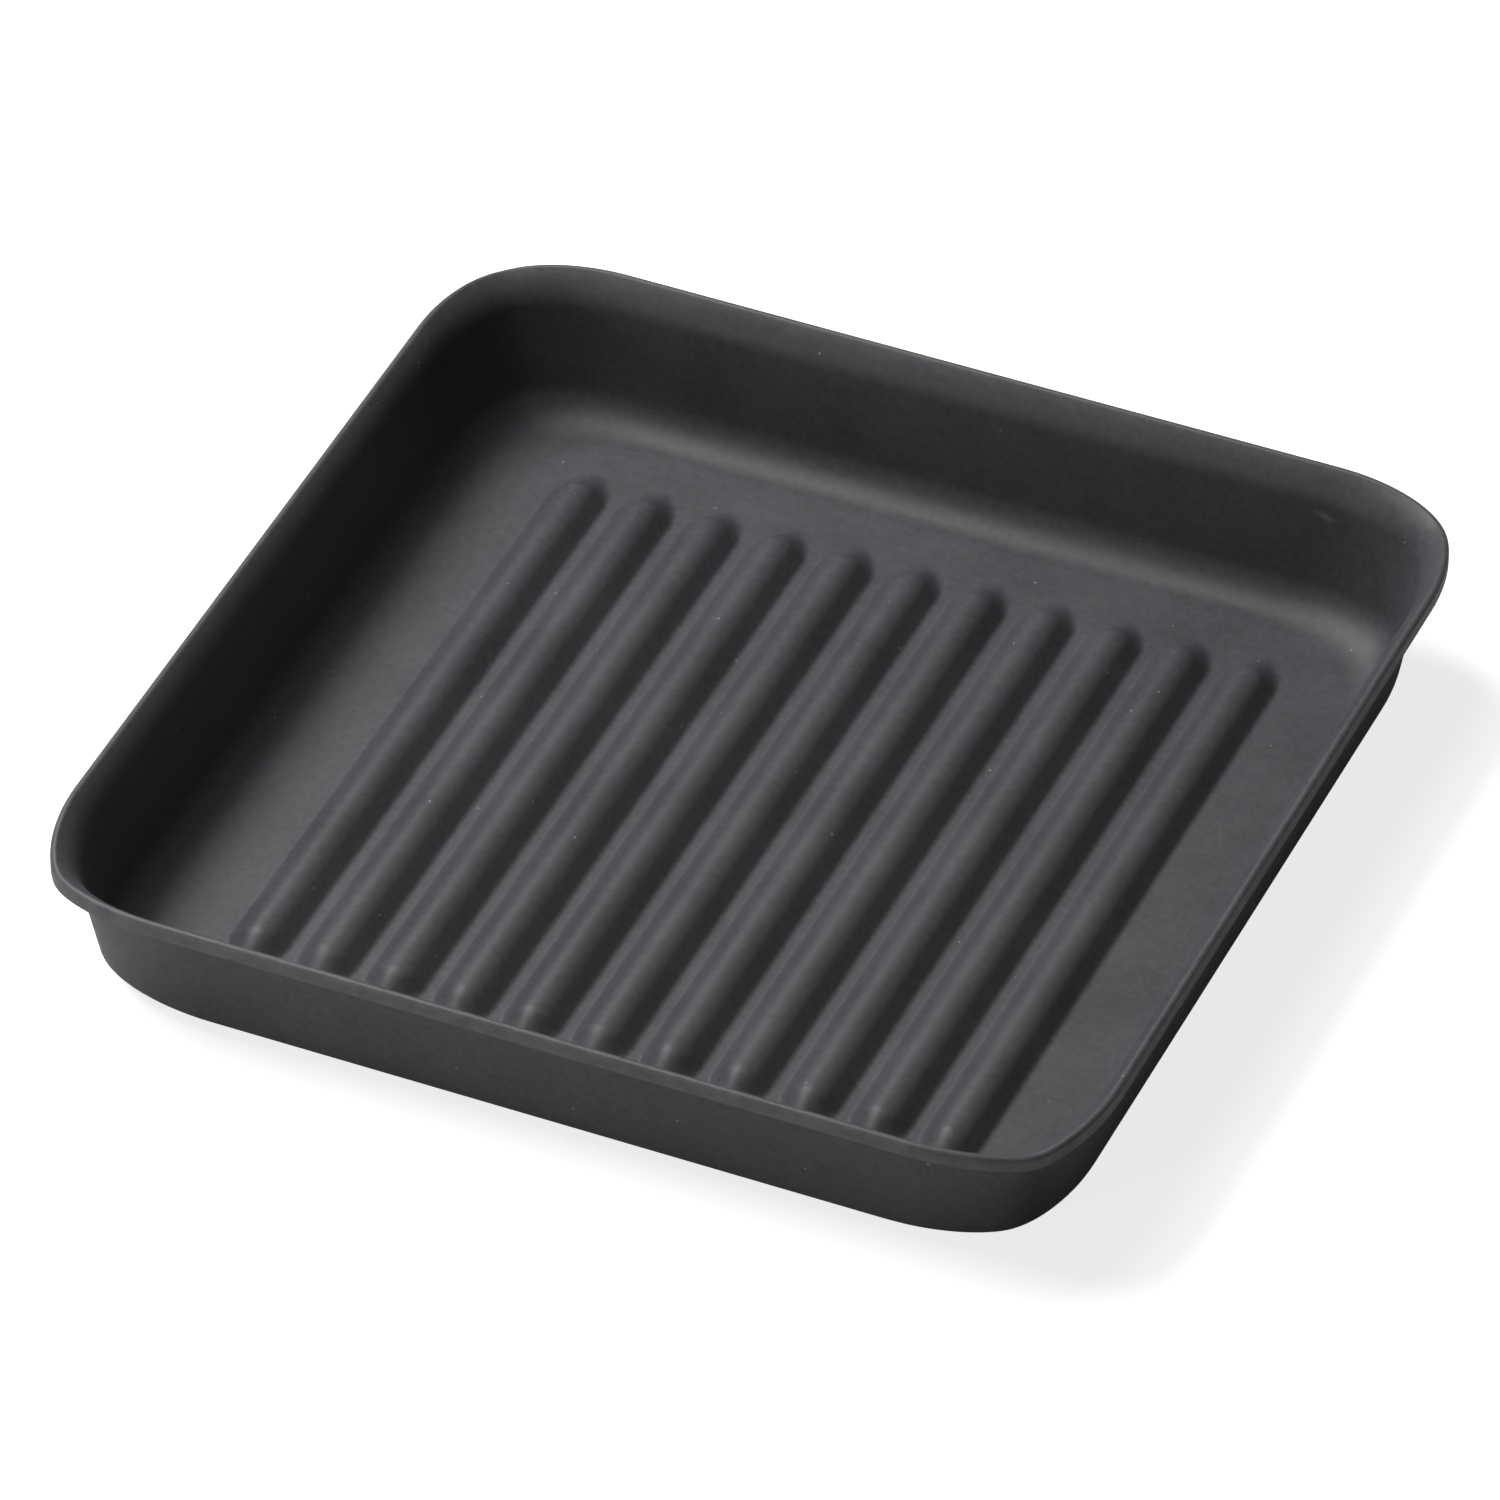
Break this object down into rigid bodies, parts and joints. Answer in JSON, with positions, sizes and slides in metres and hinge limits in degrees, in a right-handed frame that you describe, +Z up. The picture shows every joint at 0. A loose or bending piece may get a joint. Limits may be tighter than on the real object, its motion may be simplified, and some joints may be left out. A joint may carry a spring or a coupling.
{
  "type": "ribbed metal tray",
  "caption": "Shallow near-square tray pressed from one dark coated steel sheet, with parallel raised floor ribs, rounded corners and a flared rim folded down into a short lip.",
  "frame": {"origin": "under the middle of the tray, on the surface it stands on", "axes": "+X across the ribs, +Y along the ribs, +Z up out of the tray"},
  "size_m": [0.23, 0.233, 0.0334],
  "materials": {
    "coated_steel": "dark charcoal baked coating, satin"
  },
  "bodies": {
    "root": {"pressed_tray": "coated_steel"}
  },
  "joints": []
}
